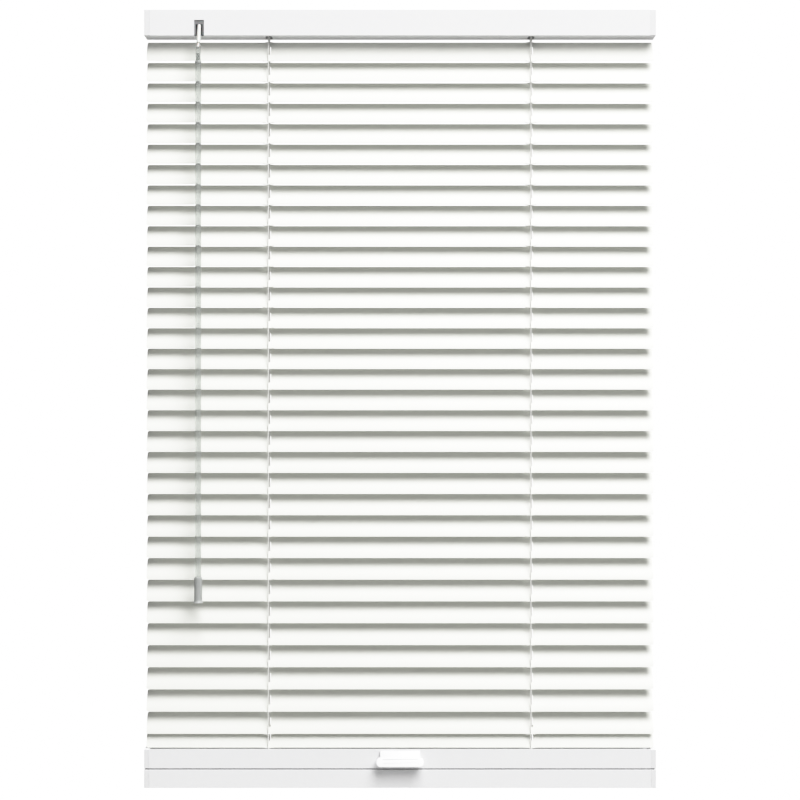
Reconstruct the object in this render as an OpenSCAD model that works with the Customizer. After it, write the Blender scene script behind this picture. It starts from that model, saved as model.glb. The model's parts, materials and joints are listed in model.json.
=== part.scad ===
// Cordless venetian blind with 25 mm aluminium slats, a tilt wand, a moving lift rail and a fixed base rail.
// Frame: origin at the centre of the headrail's top, +Z up, the room side faces -Y. Millimetres.

/* [Blind] */
// Width across the rails and their end caps
blind_w = 540; // [460:5:800]
// Tilt of the closed slats from horizontal, front edge down
closed_tilt = 58.5; // [50:0.5:60]
// Height of the lift rail's top below the headrail's top
lift_rail_drop = 780.3; // [780.3:0.1:781]

/* [Slats] */
// Slat width, edge to edge across the crown
slat_w = 25.15; // [24.8:0.05:25.3]
// Slat length
slat_len = 537; // [440:1:537]
// Slat thickness
slat_t = 0.25; // [0.2:0.05:0.3]
// Crown radius of the slat's underside
crown_r = 45; // [40:1:60]
// Height of the first slat's centre line below the headrail's top
first_slat = 42.1; // [42:0.1:43]
// Spacing of the slats in the upper half of the ladder
slat_pitch = 21.73; // [21.7:0.01:21.74]
// How much each spacing in the lower half is larger than the one above it
pitch_growth = 0.126; // [0.12:0.001:0.126]
// Spacing of the last two slats
last_pitch = 14.5; // [14.4:0.1:14.6]
// Length of the route hole, across the slat
route_len = 11; // [10:0.5:12]
// Width of the route hole
route_w = 3.6; // [3.2:0.1:4]

/* [Rails] */
// Depth of all three rails, front to back
rail_d = 28; // [28:1:30]
// Distance of the rails' front faces in front of the slats' centre line
rail_front = 15; // [15:0.5:16]
// Height of the headrail
head_h = 27.4; // [27.4:0.1:28]
// Thickness of the headrail's steel strip
head_t = 0.8; // [0.6:0.1:0.8]
// Visible thickness of the headrail's end caps
head_cap = 6; // [5:0.5:7]
// Height of the lift rail
lift_h = 20.3; // [20:0.1:20.3]
// Gap between the lift rail and the base rail
seam = 1.2; // [1:0.1:1.5]
// Height of the base rail
base_h = 19.2; // [18:0.1:20]
// Wall of the lift rail and of the base rail
rail_wall = 1.2; // [1:0.1:1.5]
// Visible thickness of the lower rails' end caps
rail_cap = 5; // [4:0.5:6]
// Depth of the channel along the lift rail's top
channel = 5; // [4.5:0.1:8]

/* [Ladders and cords] */
// Distance of each ladder from the middle of the blind
ladder_x = 139; // [120:1:145]
// Radius of a ladder cord
string_r = 0.45; // [0.35:0.05:0.45]
// Radius of a rung cord
rung_r = 0.4; // [0.3:0.05:0.4]
// Radius of a guide cord
guide_r = 0.6; // [0.5:0.05:0.65]

/* [Tilter] */
// Module of the gear teeth
gear_m = 1; // [1:1:1]
// Teeth on the tilter gear
gear_teeth = 18; // [18:1:18]
// Pitch radius of the worm
worm_pr = 2.8; // [2.8:0.1:2.9]
// Lean of the worm and its stem from vertical
stem_lean = 25; // [24:0.5:26]
// Distance of the wand from the middle of the blind
wand_x = 212; // [200:1:215]

/* [Wand] */
// Height of the ball joint below the headrail's top
ball_drop = 40.9; // [40:0.1:42]
// Radius of the stem's ball
ball_r = 1.9; // [1.8:0.1:1.9]
// Bottom of the wand's cap below the headrail's top
cap_drop = 56; // [55:0.5:57]
// Top of the grip below the headrail's top
grip_drop = 597.9; // [500:1:598]
// Length of the grip without its foot
grip_len = 25.2; // [20:0.1:30]

/* [Lift handle] */
// Width of the handle's lip
lip_w = 50.6; // [46:0.1:54]
// Width of the handle's shoulder
shoulder_w = 42; // [38:0.1:44]
// How far the lip stands out from the rail
handle_out = 13; // [12:0.5:14]

/* [Hidden] */
SLATS = 34;
EVEN = 16;
FIRST_CARRIED = 28;
LAST_CARRIED = 33;
function pad(k) = k < 10 ? str("0", k) : str(k);

$fn = 48;
white = [0.96, 0.96, 0.93];
rail_grey = [0.88, 0.88, 0.89];
steel = [0.7, 0.71, 0.73];
nylon = [0.9, 0.9, 0.88];
cord_white = [0.93, 0.93, 0.92];
clear_grey = [0.78, 0.8, 0.8, 0.6];
eps = 0.01;

// Slats
sag = crown_r - sqrt(crown_r * crown_r - slat_w * slat_w / 4);
even_end = first_slat + EVEN * slat_pitch;
function grown(n) = n * slat_pitch + pitch_growth * n * (n + 1) / 2;
function slat_z(k) =
    k <= EVEN + 1 ? -(first_slat + (k - 1) * slat_pitch)
    : k < SLATS ? -(even_end + grown(k - EVEN - 1))
    : -(even_end + grown(SLATS - EVEN - 2) + last_pitch);
string_dx = -0.5;
guide_dx = 0.75;
string_y = slat_w / 2 * cos(closed_tilt) + slat_t + string_r + 0.05;
lead_out = 0.36;
rung_half = slat_w / 2 - 0.4;

// Rails
rail_back = rail_d - rail_front;
rail_mid = rail_back - rail_d / 2;
head_len = blind_w - 2 * head_cap;
low_len = blind_w - 2 * rail_cap;
lip_in = 3;
lift_top = -lift_rail_drop;
channel_floor = lift_top - channel;
base_top = lift_top - lift_h - seam;
cap_fit = 0.05;
spigot = 9;

// Tilt rod, drums and tilter
rod_y = 2;
rod_z = -13.5;
rod_af = 5.6;
rod_r = rod_af / 2 / cos(30);
rod_bore = rod_r + 0.06;
drum_r = rod_y + string_y - string_r;
drum_w = 12;
drum_flange = 1.2;
hub_r = 4.6;
hub_run = 0.08;
cradle_l = 22;
cradle_wall = 2;
cradle_floor = 1.4;
cradle_z = -head_h + head_t + 0.1;
knot_r = 1.8;
gear_pr = gear_m * gear_teeth / 2;
gear_w = 3.2;
tooth_out = 0.65;
tooth_in = 0.95;
centre_d = gear_pr + worm_pr;
worm_len = 8;
thread_out = 0.6;
thread_in = 0.8;
stem_r = 2;
stem_run = 0.08;
neck_r = 1.1;
down = [0, -sin(stem_lean), -cos(stem_lean)];
foot = [-wand_x, rod_y - centre_d * cos(stem_lean), rod_z + centre_d * sin(stem_lean)];
ball_s = (ball_drop + foot[2]) / cos(stem_lean);
ball = foot + ball_s * down;
housing_w = 21;

// Wand
socket_r = 2.95;
slot_half = 1.3;
rod_hex_r = 3.1;
tenon_r = 1.6;
tenon_len = 8;
grip_r = 4.2;
foot_r = 5.2;
foot_h = 2.1;

// Brackets and fixing holes
bracket_x = 185;
bracket_l = 34;
screw_r = 2.2;
base_screw_x = 200;

// A profile in the YZ plane, extruded along X and centred on x = 0
module along_x(len) {
    rotate([90, 0, 90]) linear_extrude(height = len, center = true) children();
}

// A rectangle with round ends, its long side along Y
module stadium(w, l) {
    square([w, l - w], center = true);
    for (s = [-1, 1]) translate([0, s * (l - w) / 2]) circle(d = w);
}

// Both sides of the blind
module both_sides(x) {
    for (s = [-1, 1]) translate([s * x, 0, 0]) children();
}

// A straight cord between two points
module strand(a, b, r) {
    v = b - a;
    l = norm(v);
    translate(a)
        rotate([0, acos(v[2] / l), atan2(v[1], v[0])])
            cylinder(r = r, h = l, $fn = 16);
}

// Slats

// One slat lying flat, crowned upwards, its chord on z = 0
module flat_slat() {
    difference() {
        intersection() {
            along_x(slat_len) difference() {
                translate([0, sag - crown_r]) circle(r = crown_r + slat_t, $fn = 200);
                translate([0, sag - crown_r]) circle(r = crown_r, $fn = 200);
            }
            translate([-slat_len / 2, -slat_w / 2, -1]) cube([slat_len, slat_w, sag + 3]);
        }
        for (s = [-1, 1])
            translate([s * ladder_x + guide_dx, 0, -1])
                linear_extrude(height = sag + 3) stadium(route_w, route_len);
        for (s = [-1, 1], u = [-1, 1])
            translate([s * slat_len / 2, u * slat_w / 2, -1])
                rotate([0, 0, 45]) cube([2.4, 2.4, 12], center = true);
    }
}

module slat(k) {
    color(white) translate([0, 0, slat_z(k)]) rotate([closed_tilt, 0, 0]) flat_slat();
}

// The straight cord of one rung on each ladder, just under the slat
module rung_pair(k, back_end) {
    under = -rung_r - 0.2;
    translate([0, 0, slat_z(k)]) rotate([closed_tilt, 0, 0])
        both_sides(ladder_x)
            strand([string_dx, -rung_half, under], [string_dx, back_end, under], rung_r);
}

// A rung of the lifting part ends just short of the back cord
module rung(k) {
    color(cord_white) rung_pair(k, rung_half - 1.2);
}

// Headrail and what it carries

module head_profile() {
    difference() {
        translate([-rail_front, -head_h]) square([rail_d, head_h]);
        translate([-rail_front + head_t, -head_h + head_t])
            square([rail_d - 2 * head_t, head_h - 2 * head_t]);
        translate([-rail_front + lip_in, -head_t - 1]) square([rail_d - 2 * lip_in, 2]);
    }
}

module headrail() {
    color(rail_grey) difference() {
        along_x(head_len) head_profile();
        translate([-wand_x, -rail_front, -head_h - 1]) translate([-5.1, -1, 0])
            cube([10.2, 7, head_h - 10.1]);
        both_sides(ladder_x)
            translate([0, 0.5, -head_h - 1]) linear_extrude(height = 3) stadium(7, 21);
    }
}

// A pair of end caps; each spigot is lowered where the rail's top wall is sunk
module rail_caps(len, cap, top, h, wall, sunk = 0) {
    for (s = [-1, 1]) {
        x0 = s > 0 ? len / 2 : -len / 2 - cap;
        translate([x0, -rail_front, top - h]) cube([cap, rail_d, h]);
        x1 = s > 0 ? len / 2 - spigot : -len / 2 - eps;
        translate([x1, -rail_front + wall + cap_fit, top - h + wall + cap_fit])
            cube([spigot + eps, rail_d - 2 * (wall + cap_fit),
                  h - 2 * (wall + cap_fit) - sunk]);
    }
}

module headrail_end_caps() {
    color(rail_grey) rail_caps(head_len, head_cap, 0, head_h, head_t);
}

// Spring plates that are screwed up first; the headrail's lips snap over their tongues
module mounting_brackets() {
    plate_t = head_t + 0.4;
    color(steel) both_sides(bracket_x) difference() {
        union() {
            translate([-bracket_l / 2, -rail_front + lip_in + 0.2, -plate_t])
                cube([bracket_l, rail_d - 2 * lip_in - 0.4, plate_t]);
            translate([-8, -rail_front + head_t + 0.3, -plate_t - 1])
                cube([16, rail_d - 2 * head_t - 0.6, 1]);
        }
        cylinder(r = screw_r, h = 12, center = true);
    }
}

module tilter_housing() {
    pocket_top = -15.3;
    color(nylon) difference() {
        translate([-wand_x - housing_w / 2, -rail_front + head_t + 0.1, -head_h + head_t + 0.1])
            cube([housing_w, rail_d - 2 * head_t - 0.2, head_h - 2 * head_t - 0.6]);
        translate([-wand_x, rod_y, rod_z]) rotate([0, 90, 0]) {
            cylinder(r = gear_pr + tooth_out + 0.5, h = gear_w + 1.2, center = true);
            cylinder(r = hub_r + hub_run, h = housing_w + 2, center = true);
        }
        translate([-wand_x - housing_w / 2 - 1, rod_y - 3.6, rod_z])
            cube([housing_w + 2, 7.2, 20]);
        translate(foot) rotate([-stem_lean, 0, 0]) {
            cylinder(r = worm_pr + thread_out + 0.3, h = worm_len + 1, center = true);
            translate([0, 0, -14]) cylinder(r = stem_r + stem_run, h = 14);
            cylinder(r = neck_r + stem_run, h = worm_len / 2 + 3);
        }
        translate([-wand_x - 3.6, -rail_front, -head_h - 1])
            cube([7.2, 8, head_h + 1 + pocket_top]);
    }
}

// A screw thread of trapezoid section, swept as a helix along Z
module thread(root_r, tip_r, root_half, tip_half, lead, turns) {
    seg = 24;
    n = round(seg * turns);
    gear_side = 90;
    pts = [for (i = [0:n]) let (turn = i / seg - turns / 2, z = lead * turn,
                                c = cos(gear_side + 360 * turn), s = sin(gear_side + 360 * turn))
        each [[root_r * c, root_r * s, z - root_half], [tip_r * c, tip_r * s, z - tip_half],
              [tip_r * c, tip_r * s, z + tip_half], [root_r * c, root_r * s, z + root_half]]];
    sides = [for (i = [0:n - 1], j = [0:3]) let (a = 4 * i + j, b = 4 * i + (j + 1) % 4)
        each [[a, b, a + 4], [b, b + 4, a + 4]]];
    last = [for (j = [0:3]) 4 * n + j];
    polyhedron(points = pts, faces = concat([[3, 2, 1, 0]], sides, [last]));
}

module tilter_worm() {
    core_r = worm_pr - thread_in;
    color(nylon) {
        translate(foot) rotate([-stem_lean, 0, 0]) {
            cylinder(r = core_r + 0.15, h = worm_len, center = true);
            thread(core_r, worm_pr + thread_out, 0.85, 0.4, PI * gear_m, 1.9);
            cylinder(r = neck_r, h = worm_len / 2 + 2.5);
            translate([0, 0, -ball_s + 5]) cylinder(r = stem_r, h = ball_s - 5);
            translate([0, 0, -ball_s]) cylinder(r = neck_r, h = 6);
            translate([0, 0, -ball_s]) sphere(r = ball_r);
        }
    }
}

// One gear tooth as an outline around the pitch circle
module gear_tooth() {
    polygon([[gear_pr - tooth_in - 0.3, -0.95], [gear_pr, -0.5], [gear_pr + tooth_out, -0.22],
             [gear_pr + tooth_out, 0.22], [gear_pr, 0.5], [gear_pr - tooth_in - 0.3, 0.95]]);
}

module tilter_gear() {
    hub_len = housing_w + 1;
    color(nylon) translate([-wand_x, rod_y, rod_z]) difference() {
        union() {
            rotate([0, 90, 0]) cylinder(r = hub_r, h = hub_len, center = true);
            along_x(gear_w) {
                circle(r = gear_pr - tooth_in);
                for (i = [0:gear_teeth - 1])
                    rotate(180 - stem_lean + (i + 0.5) * 360 / gear_teeth) gear_tooth();
            }
        }
        along_x(hub_len + 1) rotate(30) circle(r = rod_bore, $fn = 6);
    }
}

module tilt_rod() {
    x0 = -wand_x - housing_w / 2 - 8;
    x1 = ladder_x + cradle_l / 2 + 8;
    color(steel) translate([(x0 + x1) / 2, rod_y, rod_z])
        along_x(x1 - x0) rotate(30) circle(r = rod_r, $fn = 6);
}

module ladder_drums() {
    color(nylon) both_sides(ladder_x) translate([0, rod_y, rod_z]) difference() {
        rotate([0, 90, 0]) {
            cylinder(r = drum_r, h = drum_w, center = true);
            for (s = [-1, 1]) translate([0, 0, s * (drum_w + drum_flange) / 2])
                cylinder(r = drum_r + 0.9, h = drum_flange, center = true);
            cylinder(r = hub_r, h = cradle_l, center = true);
        }
        along_x(cradle_l + 1) rotate(30) circle(r = rod_bore, $fn = 6);
    }
}

module drum_cradles() {
    floor_z = cradle_z;
    inner = drum_w + 2 * drum_flange + 1;
    y0 = -rail_front + head_t + 0.3;
    depth = rail_d - 2 * head_t - 0.6;
    color(nylon) both_sides(ladder_x) difference() {
        union() {
            translate([-cradle_l / 2, y0, floor_z]) cube([cradle_l, depth, cradle_floor]);
            for (s = [-1, 1]) translate([s * (inner + cradle_wall) / 2, 0, 0])
                translate([-cradle_wall / 2, y0, floor_z]) cube([cradle_wall, depth, 19]);
        }
        translate([0, rod_y, rod_z]) {
            rotate([0, 90, 0]) cylinder(r = hub_r + hub_run, h = cradle_l + 2, center = true);
            translate([-cradle_l / 2 - 1, -3.8, 0]) cube([cradle_l + 2, 7.6, 20]);
        }
        for (y = [-6.3, 7]) translate([0, y, floor_z - 1]) linear_extrude(height = 4) stadium(6.4, 7.5);
        translate([guide_dx, 0, floor_z - 1]) cylinder(r = guide_r + 0.1, h = 4);
    }
}

// Wand

module wand_cap() {
    color(clear_grey) difference() {
        translate([ball[0], ball[1], 0]) {
            translate([0, 0, -ball_drop]) sphere(r = socket_r);
            translate([0, 0, -cap_drop]) cylinder(r = socket_r - 0.35, h = cap_drop - ball_drop);
        }
        translate(ball) {
            sphere(r = ball_r + 0.1);
            translate([-slot_half, -5, -0.6]) cube([2 * slot_half, 10, 8]);
        }
        translate([ball[0], ball[1], -cap_drop - 1]) cylinder(r = tenon_r + 0.06, h = tenon_len + 1.3);
    }
}

module wand_rod() {
    color(clear_grey) translate([ball[0], ball[1], 0]) {
        translate([0, 0, -grip_drop - 12])
            cylinder(r = rod_hex_r, h = grip_drop + 12 - cap_drop - 0.3, $fn = 6);
        translate([0, 0, -cap_drop - 1]) cylinder(r = tenon_r, h = tenon_len + 1);
    }
}

module wand_grip() {
    color([0.72, 0.73, 0.74]) translate([ball[0], ball[1], -grip_drop - grip_len]) difference() {
        union() {
            cylinder(r = grip_r, h = grip_len);
            translate([0, 0, -foot_h]) cylinder(r1 = foot_r, r2 = foot_r - 0.6, h = foot_h);
        }
        translate([0, 0, grip_len - 12.1]) cylinder(r = rod_hex_r + 0.04, h = 13, $fn = 6);
    }
}

// Ladders and cords

module ladder_front_cords() {
    color(cord_white) both_sides(ladder_x)
        strand([string_dx, -string_y, channel_floor + 0.1], [string_dx, -string_y, rod_z], string_r);
}

// The back cords, and the rungs that stay with the fixed part of each ladder
module ladder_back_cords() {
    bend_z = slat_z(1) + slat_w / 2 * sin(closed_tilt) + 1;
    color(cord_white) {
        both_sides(ladder_x) {
            strand([string_dx, string_y, channel_floor + 0.1],
                   [string_dx, string_y, bend_z], string_r);
            strand([string_dx, string_y, bend_z + 0.1],
                   [string_dx, rod_y + drum_r + string_r + lead_out, rod_z], string_r);
        }
        for (k = [1:FIRST_CARRIED - 1]) rung_pair(k, rung_half);
        rung_pair(SLATS, rung_half);
    }
}

// Two taut cords, each with a knot above the cradle's floor and one under the base rail's top wall
module guide_cords() {
    knot_h = 2;
    low = base_top - rail_wall - 0.1;
    high = cradle_z + cradle_floor + 0.1;
    color(cord_white) both_sides(ladder_x) translate([guide_dx, 0, 0]) {
        translate([0, 0, low]) cylinder(r = guide_r, h = high - low, $fn = 16);
        translate([0, 0, low - knot_h]) cylinder(r = knot_r, h = knot_h, $fn = 24);
        translate([0, 0, high]) cylinder(r = knot_r, h = knot_h, $fn = 24);
    }
}

// Lift rail, base rail and handle

// A closed tube with its children cut away; its top wall lies lower by the depth it is sunk
module rail_tube(top, h, sunk = 0) {
    difference() {
        translate([-low_len / 2, -rail_front, top - h]) cube([low_len, rail_d, h]);
        translate([-low_len / 2 - 1, -rail_front + rail_wall, top - h + rail_wall])
            cube([low_len + 2, rail_d - 2 * rail_wall, h - 2 * rail_wall - sunk]);
        children();
    }
}

// The last slat lies over a channel that the ladder cords end in
module lift_rail() {
    color(rail_grey) rail_tube(lift_top, lift_h, channel) {
        translate([-low_len / 2 - 1, -rail_front + rail_wall, channel_floor])
            cube([low_len + 2, rail_d - 2 * rail_wall, channel + 1]);
        both_sides(ladder_x) translate([guide_dx, 0, lift_top - lift_h - 1])
            cylinder(r = guide_r + 0.5, h = lift_h + 2);
    }
}

module lift_rail_end_caps() {
    color(rail_grey) rail_caps(low_len, rail_cap, lift_top, lift_h, rail_wall, channel);
}

module base_rail() {
    color(rail_grey) rail_tube(base_top, base_h) {
        both_sides(ladder_x) translate([guide_dx, 0, base_top - rail_wall - 1])
            cylinder(r = guide_r + 0.1, h = rail_wall + 2);
        both_sides(base_screw_x) translate([0, rail_mid, base_top - base_h - 1])
            cylinder(r = screw_r, h = rail_wall + 2);
        both_sides(base_screw_x) translate([0, rail_mid, base_top - rail_wall - 1])
            cylinder(r = 4.5, h = rail_wall + 2);
    }
}

module base_rail_end_caps() {
    color(rail_grey) rail_caps(low_len, rail_cap, base_top, base_h, rail_wall);
}

// Side outline of the handle: a foot plate on the rail, a sloping shoulder and a hollow lip
module handle_side() {
    out = handle_out;
    polygon([[0, -1.8], [-2, -1.8], [-out + 2.2, -7.2], [-out, -9.6], [-out, -17.6],
             [-out + 2.4, -17.6], [-out + 2.4, -11], [-3, -8.4], [-1.6, -10], [-1.6, -16.4],
             [0, -16.4]]);
}

module lift_handle() {
    color(white) translate([0, -rail_front - eps, lift_top]) difference() {
        union() {
            along_x(shoulder_w) handle_side();
            intersection() {
                along_x(lip_w) handle_side();
                translate([-lip_w, -handle_out - 1, -20]) cube([2 * lip_w, 4.2, 11.6]);
            }
        }
        for (s = [-1, 1]) translate([s * (lip_w / 2 - 4.5), 0, -17.6 + 4.5]) rotate([90, 0, 0])
            difference() {
                translate([s * 4.5, -4.5, 0]) cube([9, 9, 40], center = true);
                cylinder(r = 4.5, h = 50, center = true);
            }
        for (z = [-10.9, -13.6]) translate([-lip_w, -handle_out - 1, z - 0.5])
            cube([2 * lip_w, 1.6, 1]);
    }
}

headrail();
headrail_end_caps();
mounting_brackets();
tilter_housing();
tilter_worm();
tilter_gear();
tilt_rod();
ladder_drums();
drum_cradles();
wand_cap();
wand_rod();
wand_grip();
ladder_front_cords();
ladder_back_cords();
guide_cords();
lift_rail();
lift_rail_end_caps();
lift_handle();
base_rail();
base_rail_end_caps();
for (k = [1:SLATS])
    slat(k);
for (k = [FIRST_CARRIED:LAST_CARRIED])
    rung(k);
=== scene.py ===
# %% [markdown]
# # A venetian blind, piece by piece
# The blind is an aluminium one with 25 mm slats. A headrail holds a tilter, a tilt rod and two
# cord ladders. The ladders carry 34 slats, and a lift rail with a handle runs on two taut guide
# cords down to a base rail that stays on the sill. The imported CAD model is loaded first, and
# every piece made here is placed from it. All but the top and bottom lengths of the ladder cords
# ride on one of its bodies.

# %% Load the fixed frame
import json
import math

import bmesh
import bpy
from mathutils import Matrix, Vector


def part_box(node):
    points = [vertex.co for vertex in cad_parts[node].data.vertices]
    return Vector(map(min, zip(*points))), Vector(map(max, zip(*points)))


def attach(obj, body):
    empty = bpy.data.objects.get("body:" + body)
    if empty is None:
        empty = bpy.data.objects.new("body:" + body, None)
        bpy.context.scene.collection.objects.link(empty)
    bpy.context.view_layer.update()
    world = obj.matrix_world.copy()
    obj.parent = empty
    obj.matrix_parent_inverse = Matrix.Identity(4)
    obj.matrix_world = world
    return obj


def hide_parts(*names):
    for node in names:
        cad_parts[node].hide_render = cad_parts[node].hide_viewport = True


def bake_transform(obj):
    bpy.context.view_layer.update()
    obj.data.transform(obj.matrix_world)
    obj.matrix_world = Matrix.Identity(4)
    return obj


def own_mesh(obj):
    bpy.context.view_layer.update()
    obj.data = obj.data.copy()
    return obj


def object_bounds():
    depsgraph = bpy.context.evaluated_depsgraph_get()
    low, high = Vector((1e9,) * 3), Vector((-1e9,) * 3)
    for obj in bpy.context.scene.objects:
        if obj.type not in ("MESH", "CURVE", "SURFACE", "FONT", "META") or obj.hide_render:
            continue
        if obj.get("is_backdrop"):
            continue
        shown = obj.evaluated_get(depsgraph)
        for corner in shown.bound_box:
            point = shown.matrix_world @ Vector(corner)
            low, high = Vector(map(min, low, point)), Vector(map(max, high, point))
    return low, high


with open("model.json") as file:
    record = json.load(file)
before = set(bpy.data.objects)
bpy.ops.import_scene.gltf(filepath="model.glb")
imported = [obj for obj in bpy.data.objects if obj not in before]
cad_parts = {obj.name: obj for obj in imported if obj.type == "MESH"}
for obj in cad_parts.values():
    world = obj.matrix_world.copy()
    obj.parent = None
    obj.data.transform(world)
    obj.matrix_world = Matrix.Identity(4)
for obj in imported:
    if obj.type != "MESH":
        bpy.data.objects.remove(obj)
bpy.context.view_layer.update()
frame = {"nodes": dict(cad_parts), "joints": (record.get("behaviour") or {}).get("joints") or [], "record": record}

MM = 0.001
joints = {joint["name"]: joint for joint in frame["joints"]}

# %% [markdown]
# ## The camera
# The blind is seen square on, from a little over two metres, level with its middle. A long lens
# keeps the rails parallel, and from there the eye just looks up at the headrail's underside.

# %% Camera
EYE_DISTANCE = 2.2299
EYE_HEIGHT = -0.41186
LENS_MM = 94.5

camera_data = bpy.data.cameras.new("camera")
camera_data.lens = LENS_MM
camera = bpy.data.objects.new("camera", camera_data)
camera.location = (0, -EYE_DISTANCE, EYE_HEIGHT)
camera.rotation_euler = (math.radians(90), 0, 0)
bpy.context.collection.objects.link(camera)
bpy.context.scene.camera = camera
print("camera at", [round(c, 3) for c in camera.location])

# %% [markdown]
# ## Two helpers for materials
# Shader sockets take linear light, while a paint chart gives sRGB hex values, so one function
# turns one into the other. A second one adds a node, sets its inputs and properties, and links
# it: an input's value is either a plain value or the socket that feeds it.

# %% Colour and node helpers
def colour(code):
    """The linear numbers of an sRGB hex colour."""
    parts = [int(code[i:i + 2], 16) / 255 for i in (1, 3, 5)]
    linear = [c / 12.92 if c <= 0.04045 else ((c + 0.055) / 1.055) ** 2.4 for c in parts]
    return (*linear, 1.0)


def add(tree, kind, inputs=None, **properties):
    """One more node in the tree."""
    node = tree.nodes.new(kind)
    for name, value in properties.items():
        setattr(node, name, value)
    for name, value in (inputs or {}).items():
        socket = node.inputs[name]
        if isinstance(value, bpy.types.NodeSocket):
            tree.links.new(value, socket)
        else:
            socket.default_value = value
    return node


def new_material(name, **plain):
    """A material with one Principled shader; plain values are set on its own sockets."""
    material = bpy.data.materials.new(name)
    material.use_nodes = True
    tree = material.node_tree
    shader = next(n for n in tree.nodes if n.type == "BSDF_PRINCIPLED")
    for words, value in plain.items():
        shader.inputs[words.replace("_", " ")].default_value = value
    return material, tree, shader


def per_metre(size_mm):
    """A noise scale whose features are about this many millimetres across."""
    return 1 / (size_mm * MM)


# %% [markdown]
# ## Coil-coated aluminium
# Slat strip is aluminium that is roller-coated with polyester lacquer and baked before it is
# cut. The lacquer is satin, a warm white, and very slightly wavy along the strip, like orange
# peel. A stretched noise gives the wave and a second one lets the gloss drift a little. Each
# slat reads its own slice of the noise, so no two are the same.

# %% Slat lacquer
PEEL_MM = 1.4
GLOSS_DRIFT_MM = 40

lacquer, tree, shader = new_material("coil_coated_aluminium", Roughness=0.42, IOR=1.5)
place = add(tree, "ShaderNodeTexCoord").outputs["Object"]
along = add(tree, "ShaderNodeMapping", {"Vector": place, "Scale": (0.35, 1, 1)}).outputs[0]
each = add(tree, "ShaderNodeObjectInfo").outputs["Random"]
peel = add(tree, "ShaderNodeTexNoise",
           {"Vector": along, "W": each, "Scale": per_metre(PEEL_MM), "Detail": 2.0},
           noise_dimensions="4D")
drift = add(tree, "ShaderNodeTexNoise",
            {"Vector": along, "W": each, "Scale": per_metre(GLOSS_DRIFT_MM), "Detail": 1.0},
            noise_dimensions="4D")
gloss = add(tree, "ShaderNodeMapRange", {"Value": drift.outputs[0], "To Min": 0.38, "To Max": 0.46})
tint = add(tree, "ShaderNodeMix",
           {"Factor": drift.outputs[0], 6: colour("#EDEEE8"), 7: colour("#F0F1EB")},
           data_type="RGBA")
bump = add(tree, "ShaderNodeBump",
           {"Height": peel.outputs[0], "Strength": 0.05, "Distance": 0.02 * MM})
tree.links.new(tint.outputs[2], shader.inputs["Base Color"])
tree.links.new(gloss.outputs[0], shader.inputs["Roughness"])
tree.links.new(bump.outputs[0], shader.inputs["Normal"])
print("made", lacquer.name)

# %% [markdown]
# ## Powder coat
# The headrail is roll-formed steel and the two lower rails are extruded aluminium, all powder
# coated in the same cool pale grey. Powder melts into a fine pebbled skin, about 0.4 mm from
# bump to bump, with a soft sheen. One function makes it, as only the metal underneath differs.

# %% Powder coat on steel and on aluminium
PEBBLE_MM = 0.4
SPECK_MM = 6


def powder_coat(name):
    material, tree, shader = new_material(name, Roughness=0.48, IOR=1.5)
    place = add(tree, "ShaderNodeTexCoord").outputs["Object"]
    pebble = add(tree, "ShaderNodeTexNoise",
                 {"Vector": place, "Scale": per_metre(PEBBLE_MM), "Detail": 3.0})
    cloud = add(tree, "ShaderNodeTexNoise",
                {"Vector": place, "Scale": per_metre(SPECK_MM), "Detail": 4.0})
    shade = add(tree, "ShaderNodeMix",
                {"Factor": cloud.outputs[0], 6: colour("#F1F1F2"), 7: colour("#F4F4F5")},
                data_type="RGBA")
    sheen = add(tree, "ShaderNodeMapRange",
                {"Value": pebble.outputs[0], "To Min": 0.42, "To Max": 0.55})
    bump = add(tree, "ShaderNodeBump",
               {"Height": pebble.outputs[0], "Strength": 0.12, "Distance": 0.03 * MM})
    tree.links.new(shade.outputs[2], shader.inputs["Base Color"])
    tree.links.new(sheen.outputs[0], shader.inputs["Roughness"])
    tree.links.new(bump.outputs[0], shader.inputs["Normal"])
    return material


coated_steel = powder_coat("powder_coated_steel")
coated_aluminium = powder_coat("powder_coated_aluminium")
print("made", coated_steel.name, "and", coated_aluminium.name)

# %% [markdown]
# ## Moulded plastics
# End caps and the handle are ABS from a spark-eroded mould, which leaves a fine matt grain.
# The worm, gear and drums are natural nylon, smoother, and waxy enough that light goes a short
# way in. The housing and cradles that hold them are the same nylon made dark grey, as painted
# shade for the headrail notch around them. A cell pattern bumps the ABS, a soft noise the nylon.

# %% ABS and nylon
SPARK_GRAIN_MM = 0.25
FLOW_MM = 9

abs_white, tree, shader = new_material("moulded_abs", Roughness=0.38, IOR=1.53)
place = add(tree, "ShaderNodeTexCoord").outputs["Object"]
grain = add(tree, "ShaderNodeTexVoronoi", {"Vector": place, "Scale": per_metre(SPARK_GRAIN_MM)})
flow = add(tree, "ShaderNodeTexNoise", {"Vector": place, "Scale": per_metre(FLOW_MM)})
shade = add(tree, "ShaderNodeMix",
            {"Factor": flow.outputs[0], 6: colour("#EAEAEB"), 7: colour("#EFEFF0")},
            data_type="RGBA")
bump = add(tree, "ShaderNodeBump",
           {"Height": grain.outputs[0], "Strength": 0.1, "Distance": 0.02 * MM})
tree.links.new(shade.outputs[2], shader.inputs["Base Color"])
tree.links.new(bump.outputs[0], shader.inputs["Normal"])



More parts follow.
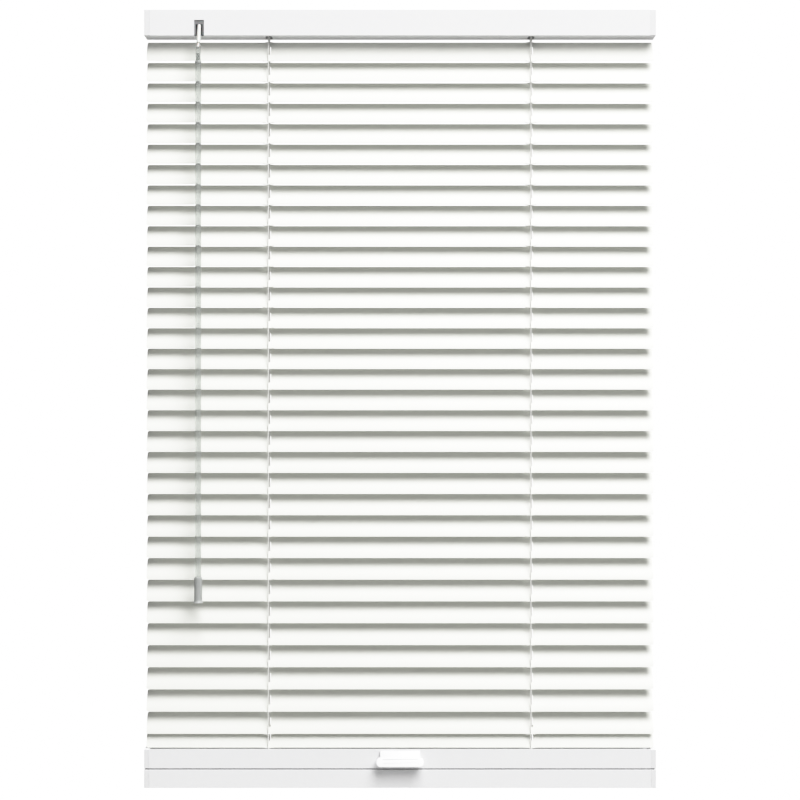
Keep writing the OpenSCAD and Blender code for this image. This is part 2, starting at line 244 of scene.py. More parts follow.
def moulded_nylon(name, dark, light):
    """Nylon that flowed into its mould, between two shades."""
    material, tree, shader = new_material(name, Roughness=0.36, IOR=1.53,
                                          Subsurface_Weight=0.12, Subsurface_Scale=1.5 * MM)
    place = add(tree, "ShaderNodeTexCoord").outputs["Object"]
    flow = add(tree, "ShaderNodeTexNoise",
               {"Vector": place, "Scale": per_metre(FLOW_MM), "Detail": 3.0})
    shade = add(tree, "ShaderNodeMix",
                {"Factor": flow.outputs[0], 6: colour(dark), 7: colour(light)},
                data_type="RGBA")
    bump = add(tree, "ShaderNodeBump",
               {"Height": flow.outputs[0], "Strength": 0.08, "Distance": 0.05 * MM})
    tree.links.new(shade.outputs[2], shader.inputs["Base Color"])
    tree.links.new(bump.outputs[0], shader.inputs["Normal"])
    return material


nylon = moulded_nylon("natural_nylon", "#D6D6D2", "#DEDEDA")
# Painted shade: this dark grey makes the headrail notch look shaded; the slot of these pieces is natural nylon.
painted_shade_nylon = moulded_nylon("painted_shade_nylon", "#87888A", "#919294")
print("made", abs_white.name, nylon.name, "and", painted_shade_nylon.name)

# %% [markdown]
# ## Zinc-plated steel
# The tilt rod is drawn along its length and the spring plates are pressed, then both are bright
# zinc plated. Zinc has a bluish cast with a faint spangle, and the drawing leaves fine lines
# along the rod, so a noise stretched along X roughens and bumps it.

# %% Zinc plate
DRAW_LINE_MM = 0.3
SPANGLE_MM = 3

zinc, tree, shader = new_material("bright_zinc_plate", Metallic=1.0, Roughness=0.3)
place = add(tree, "ShaderNodeTexCoord").outputs["Object"]
along = add(tree, "ShaderNodeMapping", {"Vector": place, "Scale": (0.02, 1, 1)}).outputs[0]
lines = add(tree, "ShaderNodeTexNoise",
            {"Vector": along, "Scale": per_metre(DRAW_LINE_MM), "Detail": 2.0})
spangle = add(tree, "ShaderNodeTexVoronoi", {"Vector": place, "Scale": per_metre(SPANGLE_MM)})
shade = add(tree, "ShaderNodeMix",
            {"Factor": spangle.outputs[0], 6: colour("#C3C7CC"), 7: colour("#D5D7D6")},
            data_type="RGBA")
rough = add(tree, "ShaderNodeMapRange", {"Value": lines.outputs[0], "To Min": 0.2, "To Max": 0.42})
bump = add(tree, "ShaderNodeBump",
           {"Height": lines.outputs[0], "Strength": 0.15, "Distance": 0.02 * MM})
tree.links.new(shade.outputs[2], shader.inputs["Base Color"])
tree.links.new(rough.outputs[0], shader.inputs["Roughness"])
tree.links.new(bump.outputs[0], shader.inputs["Normal"])
print("made", zinc.name)

# %% [markdown]
# ## Clear styrene and soft grey PVC
# The wand is extruded clear polystyrene, which bends light strongly (IOR 1.59) and so shows
# dark edges and one bright line. Its faces keep faint draw lines along the wand. The grip is a
# dipped PVC sleeve, grey, half see-through and slightly waxy.

# %% Wand plastics
EXTRUSION_LINE_MM = 0.6

styrene, tree, shader = new_material("clear_polystyrene", IOR=1.59, Transmission_Weight=0.82,
                                     Roughness=0.1)
place = add(tree, "ShaderNodeTexCoord").outputs["Object"]
along = add(tree, "ShaderNodeMapping", {"Vector": place, "Scale": (1, 1, 0.01)}).outputs[0]
lines = add(tree, "ShaderNodeTexNoise",
            {"Vector": along, "Scale": per_metre(EXTRUSION_LINE_MM), "Detail": 1.0})
shade = add(tree, "ShaderNodeMix",
            {"Factor": lines.outputs[0], 6: colour("#DADEDC"), 7: colour("#ECEEEC")},
            data_type="RGBA")
rough = add(tree, "ShaderNodeMapRange", {"Value": lines.outputs[0], "To Min": 0.06, "To Max": 0.16})
bump = add(tree, "ShaderNodeBump",
           {"Height": lines.outputs[0], "Strength": 0.08, "Distance": 0.03 * MM})
tree.links.new(shade.outputs[2], shader.inputs["Base Color"])
tree.links.new(rough.outputs[0], shader.inputs["Roughness"])
tree.links.new(bump.outputs[0], shader.inputs["Normal"])

pvc, tree, shader = new_material("soft_grey_pvc", IOR=1.53, Roughness=0.4, Transmission_Weight=0.25)
place = add(tree, "ShaderNodeTexCoord").outputs["Object"]
flow = add(tree, "ShaderNodeTexNoise",
           {"Vector": place, "Scale": per_metre(FLOW_MM), "Detail": 3.0})
shade = add(tree, "ShaderNodeMix",
            {"Factor": flow.outputs[0], 6: colour("#B4B7B5"), 7: colour("#C3C5C3")},
            data_type="RGBA")
bump = add(tree, "ShaderNodeBump",
           {"Height": flow.outputs[0], "Strength": 0.1, "Distance": 0.05 * MM})
tree.links.new(shade.outputs[2], shader.inputs["Base Color"])
tree.links.new(bump.outputs[0], shader.inputs["Normal"])
print("made", styrene.name, "and", pvc.name)

# %% [markdown]
# ## Braided polyester cord
# Ladders and guide cords are braided from white polyester yarn. The braid itself is modelled,
# so the material only adds the fibres: fine crossing lines, a little sheen at the edges and a
# dull surface.

# %% Cord
YARN_MM = 0.2

polyester, tree, shader = new_material("braided_polyester", Roughness=0.75, IOR=1.45,
                                       Sheen_Weight=0.25, Sheen_Roughness=0.4)
place = add(tree, "ShaderNodeTexCoord").outputs["Object"]
yarn = add(tree, "ShaderNodeTexWave",
           {"Vector": place, "Scale": per_metre(YARN_MM) / 20, "Distortion": 2.0},
           bands_direction="DIAGONAL")
shade = add(tree, "ShaderNodeMix",
            {"Factor": yarn.outputs["Fac"], 6: colour("#E9E9E6"), 7: colour("#F6F6F3")},
            data_type="RGBA")
bump = add(tree, "ShaderNodeBump",
           {"Height": yarn.outputs["Fac"], "Strength": 0.3, "Distance": 0.04 * MM})
tree.links.new(shade.outputs[2], shader.inputs["Base Color"])
tree.links.new(bump.outputs[0], shader.inputs["Normal"])
print("made", polyester.name)

# %% [markdown]
# ## Finishing the CAD nodes
# Rails, caps, plates and the mechanism already have the right shape. Each takes the material of
# its slot in the imported record, except the tilter housing and cradles, which take a dark grey
# nylon as painted shade for the headrail notch. Folded strip and moulded edges are never quite
# sharp, so the larger ones are welded and get a small bevel as a modifier, which leaves the CAD
# mesh alone.

# %% Materials and soft edges for the CAD nodes
FINISH = {
    "lacquered_aluminium": lacquer, "coated_steel": coated_steel,
    "coated_aluminium": coated_aluminium, "white_abs": abs_white, "nylon": nylon,
    "zinc_plated_steel": zinc, "clear_styrene": styrene, "grey_pvc": pvc,
    "polyester_cord": polyester,
}
SOFT_EDGE_MM = {
    "headrail": 0.3, "headrail_end_caps": 0.5, "lift_rail": 0.25, "lift_rail_end_caps": 0.6,
    "base_rail": 0.5, "base_rail_end_caps": 0.6, "mounting_brackets": 0.25,
    "tilter_housing": 0.2, "drum_cradles": 0.2,
}
SHARP = math.radians(35)
PAINTED_SHADE_PIECES = ("tilter_housing", "drum_cradles")


def coat(piece, slot_name):
    """Gives a piece the finish of its slot."""
    piece.data.materials.clear()
    piece.data.materials.append(FINISH[slot_name])


def soft_edges(piece, width_mm, segments=3):
    """Welds a piece and rounds its sharp edges with modifiers."""
    weld = piece.modifiers.new("weld", "WELD")
    weld.merge_threshold = 0.002 * MM
    bevel = piece.modifiers.new("soft_edges", "BEVEL")
    bevel.width = width_mm * MM
    bevel.segments = segments
    bevel.limit_method = "ANGLE"
    bevel.angle_limit = SHARP
    bevel.harden_normals = True


slot_of = {part["node"]: part["material_slot"] for part in frame["record"]["subparts"]}
for name, node in frame["nodes"].items():
    coat(node, slot_of[name])
    # Painted shade: the housing and cradles take the dark grey nylon, which darkens the headrail notch.
    if name in PAINTED_SHADE_PIECES:
        node.data.materials[0] = painted_shade_nylon
    if name in SOFT_EDGE_MM:
        soft_edges(node, SOFT_EDGE_MM[name])
print("coated", len(slot_of), "CAD nodes")

# %% [markdown]
# ## The slats
# A slat is a flat strip that rollers bend into a shallow crown, with two oval route holes
# punched for the guide cords and rounded corners so that it doesn't scratch. The outline and
# the holes are drawn as one filled curve, cut across into narrow strips, bent to the crown and
# thickened. All 34 share that one mesh, and each hangs at its own hinge.

# %% One slat mesh
SLAT_WIDTH = 25.15
SLAT_LENGTH = 537
SLAT_THICKNESS = 0.25
CROWN_RADIUS = 45
CLOSED_TILT = math.radians(58.5)
LADDER_X = 139
STRING_DX = -0.5
GUIDE_DX = 0.75
ROUTE_WIDTH = 2.6
ROUTE_LENGTH = 11
CORNER_RADIUS = 2
STRIPS = 22
ARC_STEPS = 8
half_width = SLAT_WIDTH / 2
crown_sag = CROWN_RADIUS - math.sqrt(CROWN_RADIUS ** 2 - half_width ** 2)


def rounded(x, y, half_x, half_y, radius, steps=ARC_STEPS):
    """The points of a rectangle with round corners, in mm, round (x, y)."""
    points = []
    for quarter, (sx, sy) in enumerate(((1, 1), (-1, 1), (-1, -1), (1, -1))):
        for step in range(steps + 1):
            angle = math.radians(90) * (quarter + step / steps)
            points.append((x + sx * (half_x - radius) + radius * math.cos(angle),
                           y + sy * (half_y - radius) + radius * math.sin(angle)))
    return points


def filled(outlines):
    """A flat mesh of the first outline with the others as holes, in metres on z = 0."""
    curve = bpy.data.curves.new("outline", "CURVE")
    curve.dimensions = "2D"
    curve.fill_mode = "BOTH"
    for outline in outlines:
        spline = curve.splines.new("POLY")
        spline.points.add(len(outline) - 1)
        for point, (x, y) in zip(spline.points, outline):
            point.co = (x * MM, y * MM, 0, 1)
        spline.use_cyclic_u = True
    holder = bpy.data.objects.new("outline", curve)
    bpy.context.collection.objects.link(holder)
    flat = bpy.data.meshes.new_from_object(
        holder.evaluated_get(bpy.context.evaluated_depsgraph_get()))
    bpy.data.objects.remove(holder)
    return flat


def baked(name, mesh, *modifiers):
    """A mesh with modifiers applied; each is (kind, settings)."""
    holder = bpy.data.objects.new(name, mesh)
    bpy.context.collection.objects.link(holder)
    for kind, settings in modifiers:
        modifier = holder.modifiers.new(kind.lower(), kind)
        for key, value in settings.items():
            setattr(modifier, key, value)
    result = bpy.data.meshes.new_from_object(
        holder.evaluated_get(bpy.context.evaluated_depsgraph_get()))
    bpy.data.objects.remove(holder)
    result.name = name
    return result


def smooth(mesh, angle=SHARP):
    """Smooth faces with sharp edges kept where the faces turn by more than the angle."""
    mesh.shade_smooth()
    mesh.set_sharp_from_angle(angle=angle)
    return mesh


slat_outline = rounded(0, 0, SLAT_LENGTH / 2, half_width, CORNER_RADIUS)
route_holes = [rounded(side * LADDER_X + GUIDE_DX, 0, ROUTE_WIDTH / 2, ROUTE_LENGTH / 2,
                       ROUTE_WIDTH / 2) for side in (-1, 1)]
strip = filled([slat_outline, *route_holes])
work = bmesh.new()
work.from_mesh(strip)
bmesh.ops.remove_doubles(work, verts=work.verts, dist=0.001 * MM)
for cut in range(1, STRIPS):
    line = (-half_width + cut * SLAT_WIDTH / STRIPS) * MM
    bmesh.ops.bisect_plane(work, geom=[*work.verts, *work.edges, *work.faces],
                           plane_co=(0, line, 0), plane_no=(0, 1, 0))
for vert in work.verts:
    across = vert.co.y / MM
    vert.co.z = (math.sqrt(CROWN_RADIUS ** 2 - across ** 2) - CROWN_RADIUS + crown_sag) * MM
bmesh.ops.recalc_face_normals(work, faces=work.faces)
if sum(face.normal.z for face in work.faces) < 0:
    bmesh.ops.reverse_faces(work, faces=work.faces)
work.to_mesh(strip)
work.free()
slat_mesh = smooth(baked("slat", strip, ("SOLIDIFY", {"thickness": SLAT_THICKNESS * MM,
                                                      "offset": 1})))
slat_mesh.materials.append(lacquer)
print("slat mesh:", len(slat_mesh.polygons), "faces, crown", round(crown_sag, 2), "mm")

# %% Hang the slats
SLAT_COUNT = 34


def hinge(k):
    """The point on the middle of slat k that it tilts about, in metres."""
    return Vector(joints[f"slat_{k:02d}_tilt"]["pos_m"])


for k in range(1, SLAT_COUNT + 1):
    slat = bpy.data.objects.new(f"slat_strip_{k:02d}", slat_mesh)
    slat.location = hinge(k)
    slat.rotation_euler = (CLOSED_TILT, 0, 0)
    bpy.context.collection.objects.link(slat)
    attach(slat, f"slat_{k:02d}")
    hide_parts(f"slat_{k:02d}")
print("slats hang from", round(hinge(1).z / MM, 1), "to", round(hinge(SLAT_COUNT).z / MM, 1), "mm")

# %% [markdown]
# ## Braided cord
# A cord could be a curve with a round bevel, but a braid has a bumpy edge that catches light.
# This function walks a path in short steps, keeps a ring of points square to it, and pushes
# every other point out a little, so that the bumps cross like the strands of a braid.

# %% Braid maker
BRAID_SIDES = 8
BRAID_BUMP = 0.09
BRAID_STEP = 1.7


def walk(path, step):
    """Points a fixed step apart along straight runs of a path, ends and corners included."""
    points = [Vector(path[0])]
    for a, b in zip(path, path[1:]):
        a, b = Vector(a), Vector(b)
        pieces = max(1, round((b - a).length / step))
        points += [a.lerp(b, i / pieces) for i in range(1, pieces + 1)]
    return points


def braid(name, paths, radius):
    """A mesh with one braided cord along each path; paths and radius are in mm."""
    work = bmesh.new()
    for path in paths:
        points = walk(path, BRAID_STEP * radius)
        rings, side = [], None
        for i, point in enumerate(points):
            ahead = (points[min(i + 1, len(points) - 1)] - points[max(i - 1, 0)]).normalized()
            side = ahead.orthogonal() if side is None else side - ahead * side.dot(ahead)
            side.normalize()
            up = ahead.cross(side)
            ring = []
            for j in range(BRAID_SIDES):
                angle = 2 * math.pi * j / BRAID_SIDES
                out = radius * (1 + BRAID_BUMP * (-1) ** (i + j))
                spot = point + out * (side * math.cos(angle) + up * math.sin(angle))
                ring.append(work.verts.new(spot * MM))
            rings.append(ring)
        for low, high in zip(rings, rings[1:]):
            for j in range(BRAID_SIDES):
                n = (j + 1) % BRAID_SIDES
                work.faces.new((low[j], low[n], high[n], high[j]))
        work.faces.new(rings[0][::-1])
        work.faces.new(rings[-1])
    mesh = bpy.data.meshes.new(name)
    work.to_mesh(mesh)
    work.free()
    mesh.shade_smooth()
    return mesh


def link(name, mesh, slot_name):
    """A new object with its finish."""
    piece = bpy.data.objects.new(name, mesh)
    bpy.context.collection.objects.link(piece)
    coat(piece, slot_name)
    return piece


# %% [markdown]
# ## Rungs
# Each ladder has two strands under every slat. They leave the front cord together, spread to
# either side of the route hole, lie against the hollow underside of the slat and meet at the
# back cord. The slat rests in them, so each pair rides with its slat; for slats 28 to 33 they
# stand for the CAD rung, which is hidden. Following the hollow leaves room for the next slat
# when the slats stack.

# %% Rungs
RUNG_RADIUS = 0.28
RUNG_SPREAD = 6.4
FIRST_LIFTED = 28
LAST_LIFTED = 33
RUNG_CLEARANCE = 0.04
RUNG_STATIONS = (-11.4, -9, -6, -3, 0, 3, 6, 9, 11.4)


def under_slat(y):
    """Height of a strand's middle where it lies against the underside of a flat slat."""
    hollow = math.sqrt(CROWN_RADIUS ** 2 - y ** 2) - math.sqrt(CROWN_RADIUS ** 2 - half_width ** 2)
    return hollow - SLAT_THICKNESS / 2 - RUNG_RADIUS - RUNG_CLEARANCE


def strand(x, spread):
    """One strand under a slat that lies flat, from its front cord to its back cord."""
    edge = half_width + 0.45
    front = [(x, -edge, 0.35), (x + 0.45 * spread, -edge + 0.05, 0.0),
             (x + 0.85 * spread, -edge + 0.35, -0.35)]
    middle = [(x + spread, y, under_slat(y)) for y in RUNG_STATIONS]
    back = [(px, -py, pz) for px, py, pz in reversed(front)]
    return front + middle + back


strands = [strand(side * LADDER_X + STRING_DX, spread)
           for side in (-1, 1) for spread in (-RUNG_SPREAD, RUNG_SPREAD)]
rung_mesh = braid("rungs", strands, RUNG_RADIUS)
for k in range(1, SLAT_COUNT + 1):
    rungs = link(f"rungs_{k:02d}", rung_mesh, "polyester_cord")
    rungs.location = hinge(k)
    rungs.rotation_euler = (CLOSED_TILT, 0, 0)
    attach(rungs, f"slat_{k:02d}")
    if FIRST_LIFTED <= k <= LAST_LIFTED:
        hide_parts(f"rung_{k:02d}")
print("rungs:", SLAT_COUNT * len(strands), "strands")

# %% [markdown]
# ## Ladder cords
# A ladder's front and back cords hang from a drum, pass every slat's edges and end in the lift
# rail. Between the first slat and the last fixed one they move as one body. Above it the cord
# bends between the headrail and the first slat, and below it the part that gathers when the
# rail is lifted flattens with the lift, so each cord is made in four lengths. Here all four are
# drawn straight.

# %% Ladder cords
STRING_RADIUS = 0.45
STRING_Y = 7.32
DRUM_LEAD_Y = {"front": -7.32, "back": 11.6}
DRUM_Z = -13.5
LAST_FIXED = 27
CHANNEL_DEPTH = 5
edge_rise = half_width * math.sin(CLOSED_TILT)
rail_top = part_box("lift_rail")[1].z / MM
channel_floor = rail_top - CHANNEL_DEPTH

for place, side in (("front", -1), ("back", 1)):
    body = f"ladder_{place}"
    edge = {k: hinge(k).z / MM + side * edge_rise for k in (1, LAST_FIXED, SLAT_COUNT)}

    def cord(part, top, bottom, top_y=side * STRING_Y):
        paths = [[(x + STRING_DX, top_y, top), (x + STRING_DX, side * STRING_Y, bottom)]
                 for x in (-LADDER_X, LADDER_X)]
        return link(f"{body}_{part}", braid(part, paths, STRING_RADIUS), "polyester_cord")

    lead = cord("lead", DRUM_Z, edge[1], DRUM_LEAD_Y[place])
    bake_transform(lead)

    run = cord("run", edge[1], edge[LAST_FIXED])
    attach(run, body)
    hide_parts(f"{body}_cords")

    gather = cord("gather", edge[LAST_FIXED], edge[SLAT_COUNT])
    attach(gather, body)
    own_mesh(gather)

    tail = cord("tail", edge[SLAT_COUNT], channel_floor - 0.6)
    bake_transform(tail)

# %% [markdown]
# ## Guide cords
# The two guide cords are stretched from the cradles to the base rail, through every route hole
# and through the lift rail. Each ends in a knot, drawn as one and a half tight turns.

# %% Guide cords
GUIDE_RADIUS = 0.6
KNOT_RADIUS = 1.05
KNOT_POINTS = 18
KNOT_RISE = 1.2
KNOT_INSET = 1.5
guide_low, guide_high = (corner.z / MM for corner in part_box("guide_cords"))


def knot(x, z, way):
    """Turns of cord that start on the cord's own line and climb by the way given."""
    turns = []
    for i in range(KNOT_POINTS + 1):
        angle = 3 * math.pi * i / KNOT_POINTS
        turns.append((x + KNOT_RADIUS * math.sin(angle), KNOT_RADIUS * (1 - math.cos(angle)) / 2,
                      z + way * KNOT_RISE * i / KNOT_POINTS))
    return turns


guide_paths = []
for side in (-1, 1):
    x = side * LADDER_X + GUIDE_DX
    top, low = guide_high - KNOT_INSET, guide_low + KNOT_INSET
    guide_paths.append(knot(x, top, 1)[::-1] + [(x, 0, z) for z in (top - 1, low + 1)]
                       + knot(x, low, -1))
guides = link("guide_cords_braided", braid("guides", guide_paths, GUIDE_RADIUS), "polyester_cord")
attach(guides, "root")
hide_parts("guide_cords")
print("guide cords:", round(guide_high - guide_low, 1), "mm each")

# %% [markdown]
# ## The tilt wand
# The wand is a six-sided clear rod with soft corners. A cap with a ball socket hooks it to the
# tilter's stem, a collar closes the cap, and a fluted sleeve with a flared foot is the grip.
# Each is a stack of rings: a function gives the radius at each height and angle.

# %% Turned pieces
RING_POINTS = 48
HEXAGON_ROUNDING = 0.965
FLUTES = 16
FLUTE_DEPTH = 0.22


def stacked(name, centre, levels, outline=lambda radius, angle: radius):
    """A closed mesh of rings; each level is (z, radius, how much of the outline it takes)."""
    work = bmesh.new()
    rings = []
    for z, radius, share in levels:
        ring = []
        for i in range(RING_POINTS):
            angle = 2 * math.pi * i / RING_POINTS
            r = radius + share * (outline(radius, angle) - radius)
            ring.append(work.verts.new(
                Vector((centre.x / MM + r * math.cos(angle),
                        centre.y / MM + r * math.sin(angle), z)) * MM))
        rings.append(ring)
    for low, high in zip(rings, rings[1:]):
        for i in range(RING_POINTS):
            n = (i + 1) % RING_POINTS
            work.faces.new((low[i], low[n], high[n], high[i]))
    work.faces.new(rings[0][::-1])
    work.faces.new(rings[-1])
    mesh = bpy.data.meshes.new(name)
    work.to_mesh(mesh)
    work.free()
    return smooth(mesh)


def six_sided(radius, angle):
    """A hexagon whose corners are rounded by keeping it inside a slightly smaller circle."""
    turned = (angle + math.pi / 6) % (math.pi / 3) - math.pi / 6
    return min(radius * math.cos(math.pi / 6) / math.cos(math.pi / 6 - abs(turned)),
               HEXAGON_ROUNDING * radius)


def fluted(radius, angle):
    """A circle with shallow flutes."""
    return radius - FLUTE_DEPTH * (0.5 - 0.5 * math.cos(FLUTES * angle)) ** 2


ball = Vector(joints["wand_swing"]["pos_m"])
rod_low, rod_high = (corner.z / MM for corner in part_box("wand_rod"))
cap_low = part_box("wand_cap")[0].z / MM
grip_low, grip_high = (corner.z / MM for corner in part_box("wand_grip"))
ROD_RADIUS = 3.1
TENON_RADIUS = 1.6
ROD_STEPS = 12

rod_levels = [(rod_low, ROD_RADIUS - 0.5, 1), (rod_low + 0.5, ROD_RADIUS, 1)]
rod_levels += [(rod_low + (cap_low - rod_low) * i / ROD_STEPS, ROD_RADIUS, 1)
               for i in range(1, ROD_STEPS)]
rod_levels += [(cap_low - 0.8, ROD_RADIUS, 1), (cap_low - 0.35, ROD_RADIUS - 0.4, 1),
               (cap_low - 0.3, TENON_RADIUS, 0), (rod_high - 0.3, TENON_RADIUS, 0),
               (rod_high, TENON_RADIUS - 0.3, 0)]
rod = link("wand_hexagon_rod", stacked("rod", ball, rod_levels, six_sided), "clear_styrene")
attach(rod, "wand")
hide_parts("wand_rod")

COLLAR_RADIUS = 3.35
collar_levels = [(cap_low - 2.4, COLLAR_RADIUS - 0.4, 0), (cap_low - 2.5, COLLAR_RADIUS - 0.2, 0),
                 (cap_low - 2.1, COLLAR_RADIUS, 0), (cap_low - 0.2, COLLAR_RADIUS, 0),
                 (cap_low + 0.3, COLLAR_RADIUS - 0.15, 0),
                 (cap_low + 0.5, COLLAR_RADIUS - 0.6, 0)]
collar = link("wand_collar", stacked("collar", ball, collar_levels), "grey_pvc")
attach(collar, "wand_socket")

GRIP_RADIUS = 4.2
FOOT_RADIUS = 5.2
foot_top = grip_low + 2.1
grip_levels = [(grip_low, FOOT_RADIUS - 0.5, 0), (grip_low + 0.2, FOOT_RADIUS - 0.1, 0),
               (grip_low + 0.5, FOOT_RADIUS, 0), (foot_top - 0.5, FOOT_RADIUS - 0.5, 0),
               (foot_top + 0.2, GRIP_RADIUS + 0.15, 0), (foot_top + 1.2, GRIP_RADIUS, 0.3),
               (foot_top + 2.5, GRIP_RADIUS, 1), (grip_high - 4, GRIP_RADIUS, 1),
               (grip_high - 2.5, GRIP_RADIUS, 0.3), (grip_high - 1, GRIP_RADIUS - 0.1, 0),
               (grip_high - 0.2, GRIP_RADIUS - 0.4, 0), (grip_high, GRIP_RADIUS - 0.8, 0)]
grip = link("wand_fluted_grip", stacked("grip", ball, grip_levels, fluted), "grey_pvc")
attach(grip, "wand")
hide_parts("wand_grip")
print("wand:", round(rod_high - grip_low, 1), "mm long")

# %% [markdown]
# ## The lift handle
# The handle is one ABS moulding: a plate on the rail, a sloping shoulder and a wider lip with
# round lower corners and two shallow finger grooves. The lip leans outward, so a finger hooks
# behind it. The side outline is pushed out along X for the shoulder, and the lip's outline along
# Y and leaned. The grooves are cut with round bars that lean with the lip, and every edge is
# rounded, because a moulding that is pulled by hand has no sharp one.

# %% Lift handle
rail_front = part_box("lift_handle")[1].y / MM
LIP_HALF = 25.3
SHOULDER_HALF = 21
LIP_TOP = -7.4
LIP_BOTTOM = -16.9
LIP_CORNER = 4.6
LIP_THICKNESS = 2.6
LIP_OUT = 11.7
LIP_LEAN = 0.6
GROOVE_DROPS = (-9.9, -13.4)
GROOVE_HALF = 18.5
GROOVE_WIDTH = 0.75
GROOVE_DEPTH = 1.1
SIDE = [(0.2, -1.8), (-1.2, -1.5), (-2.4, -1.9), (-4.4, -4.4), (-6.4, -7.0), (-7.6, -8.6),
        (-11.4, -14.6), (-10.0, -14.6), (-6.2, -9.0), (-3, -7.6), (-1.6, -9.5),
        (-1.6, -16.4), (0.2, -16.4)]


def pushed_out(outline, place, push):
    """A closed mesh between an outline and the same outline pushed along a vector, in mm."""
    work = bmesh.new()
    near = [work.verts.new((place(p) + Vector(push) * -0.5) * MM) for p in outline]
    far = [work.verts.new((place(p) + Vector(push) * 0.5) * MM) for p in outline]
    work.faces.new(near)
    work.faces.new(far[::-1])
    for i in range(len(outline)):
        n = (i + 1) % len(outline)
        work.faces.new((near[n], near[i], far[i], far[n]))
    bmesh.ops.recalc_face_normals(work, faces=work.faces)
    mesh = bpy.data.meshes.new("pushed_out")
    work.to_mesh(mesh)
    work.free()
    return mesh


def on_lip(point, out=0.0):
    """A point across and down the leaning lip, moved out of it by a distance."""
    lean = LIP_OUT - (point[1] - LIP_BOTTOM) * LIP_LEAN
    return Vector((point[0], rail_front - lean - out, rail_top + point[1]))


shoulder = pushed_out(SIDE, lambda p: Vector((0, rail_front + p[0], rail_top + p[1])),
                      (2 * SHOULDER_HALF, 0, 0))
lip_outline = rounded(0, (LIP_TOP + LIP_BOTTOM) / 2, LIP_HALF, (LIP_TOP - LIP_BOTTOM) / 2,
                      LIP_CORNER)
lip = pushed_out(lip_outline, on_lip, (0, LIP_THICKNESS, 0))
cutters = []
for drop in GROOVE_DROPS:
    bar = pushed_out(rounded(0, drop, GROOVE_HALF, GROOVE_WIDTH, GROOVE_WIDTH * 0.9, 4),
                     lambda p: on_lip(p, LIP_THICKNESS / 2), (0, 2 * GROOVE_DEPTH, 0))
    cutters.append(bpy.data.objects.new("groove_cutter", bar))
    bpy.context.collection.objects.link(cutters[-1])
round_edge = ("BEVEL", {"width": 0.9 * MM, "segments": 4, "limit_method": "ANGLE",
                        "angle_limit": math.radians(25)})
grooves = [("BOOLEAN", {"operation": "DIFFERENCE", "solver": "EXACT", "object": cutter})
           for cutter in cutters]
shoulder = baked("shoulder", shoulder, round_edge)
lip = baked("lip", lip, round_edge, *grooves)
for cutter in cutters:
    bpy.data.objects.remove(cutter)
work = bmesh.new()
work.from_mesh(shoulder)
work.from_mesh(lip)
handle_mesh = bpy.data.meshes.new("handle")
work.to_mesh(handle_mesh)
work.free()
handle = link("lift_handle_moulding", smooth(handle_mesh), "white_abs")
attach(handle, "lift_rail")
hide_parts("lift_handle")
print("handle:", len(handle_mesh.polygons), "faces")

# %% [markdown]
# ## Floor, light and tone
# A blind is lit from both sides: a large soft lamp stands high on the right in front of it, as
# in a studio, and daylight comes through the window behind and fills the slats' hollow backs.
# An even sky fills the rest, and is white where the camera sees it directly. Paper and lacquer
# are so close to white that a plain film would clip them, so a curve gives a soft shoulder.

# %% Stage, sky and lamps
FLOOR_Z = -2.2
FLOOR_SIZE = 4.5
SKY_FILL = 0.2
PAPER_WHITE = 1.5

chalk, tree, shader = new_material("pale_floor", Roughness=0.8)
place = add(tree, "ShaderNodeTexCoord").outputs["Object"]
cloud = add(tree, "ShaderNodeTexNoise", {"Vector": place, "Scale": 1.5, "Detail": 3.0})
shade = add(tree, "ShaderNodeMix",
            {"Factor": cloud.outputs[0], 6: colour("#E0E0DE"), 7: colour("#E6E6E4")},
            data_type="RGBA")
tree.links.new(shade.outputs[2], shader.inputs["Base Color"])

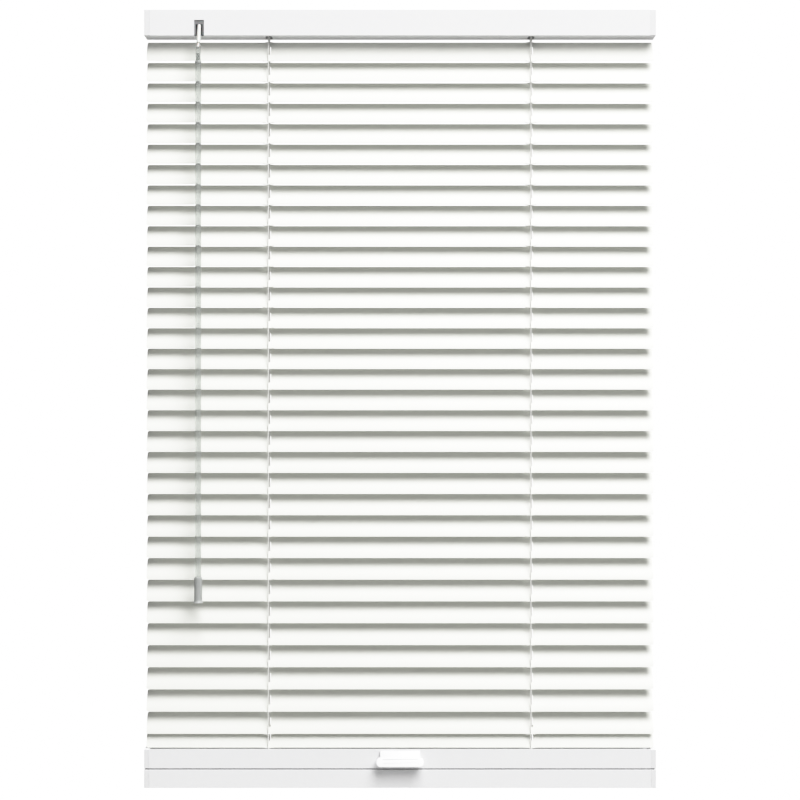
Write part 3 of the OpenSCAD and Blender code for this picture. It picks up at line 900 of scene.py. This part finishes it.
floor_mesh = bpy.data.meshes.new("floor")
half = FLOOR_SIZE / 2
floor_mesh.from_pydata([(-half, -half, FLOOR_Z), (half, -half, FLOOR_Z),
                        (half, half, FLOOR_Z), (-half, half, FLOOR_Z)], [], [(0, 1, 2, 3)])
floor = bpy.data.objects.new("floor", floor_mesh)
floor.data.materials.append(chalk)
bpy.context.collection.objects.link(floor)
floor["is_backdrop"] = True

world = bpy.data.worlds.new("studio")
world.use_nodes = True
tree = world.node_tree
tree.nodes.clear()
seen = add(tree, "ShaderNodeLightPath").outputs["Is Camera Ray"]
fill = add(tree, "ShaderNodeBackground", {"Color": (1, 1, 1, 1), "Strength": SKY_FILL})
paper = add(tree, "ShaderNodeBackground", {"Color": (1, 1, 1, 1), "Strength": PAPER_WHITE})
mixed = add(tree, "ShaderNodeMixShader", {0: seen, 1: fill.outputs[0], 2: paper.outputs[0]})
add(tree, "ShaderNodeOutputWorld", {"Surface": mixed.outputs[0]})
bpy.context.scene.world = world


def softbox(name, right, elevation, distance, width, height, watts):
    """An oval soft lamp aimed at the middle of the blind; angles are in degrees."""
    right, elevation = math.radians(right), math.radians(elevation)
    towards = Vector((math.sin(right) * math.cos(elevation),
                      -math.cos(right) * math.cos(elevation), math.sin(elevation)))
    data = bpy.data.lights.new(name, "AREA")
    data.shape = "ELLIPSE"
    data.size = width
    data.size_y = height
    data.energy = watts
    lamp = bpy.data.objects.new(name, data)
    lamp.location = Vector((0, 0, EYE_HEIGHT)) + distance * towards
    lamp.rotation_euler = towards.to_track_quat("Z", "Y").to_euler()
    bpy.context.collection.objects.link(lamp)
    print(name, "at", [round(c, 2) for c in lamp.location])


softbox("studio_lamp", right=28, elevation=54, distance=6.0, width=4.0, height=7.0, watts=685)
softbox("window_daylight", right=170, elevation=35, distance=5.0, width=4.0, height=4.0,
        watts=110)

# %% Tone curve
TONE = ((0, 0), (0.4, 0.385), (0.7, 0.665), (0.97, 0.85), (1.22, 0.945), (PAPER_WHITE, 1.0))

look = bpy.context.scene.view_settings
look.view_transform = "Standard"
look.use_curve_mapping = True
tone = look.curve_mapping
tone.white_level = (PAPER_WHITE,) * 3
combined = tone.curves[3]
combined.points[0].location = (0, 0)
combined.points[1].location = (1, 1)
for scene_light, shown in TONE[1:-1]:
    combined.points.new(scene_light / PAPER_WHITE, shown)
tone.update()
print("tone curve:", [tuple(round(c, 3) for c in point.location) for point in combined.points])

# %% [markdown]
# ## Size
# The box round the visual model is measured and printed.

# %% Measure the visual box
low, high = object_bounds()
print("visual box, mm:", [round(side / MM, 1) for side in high - low])
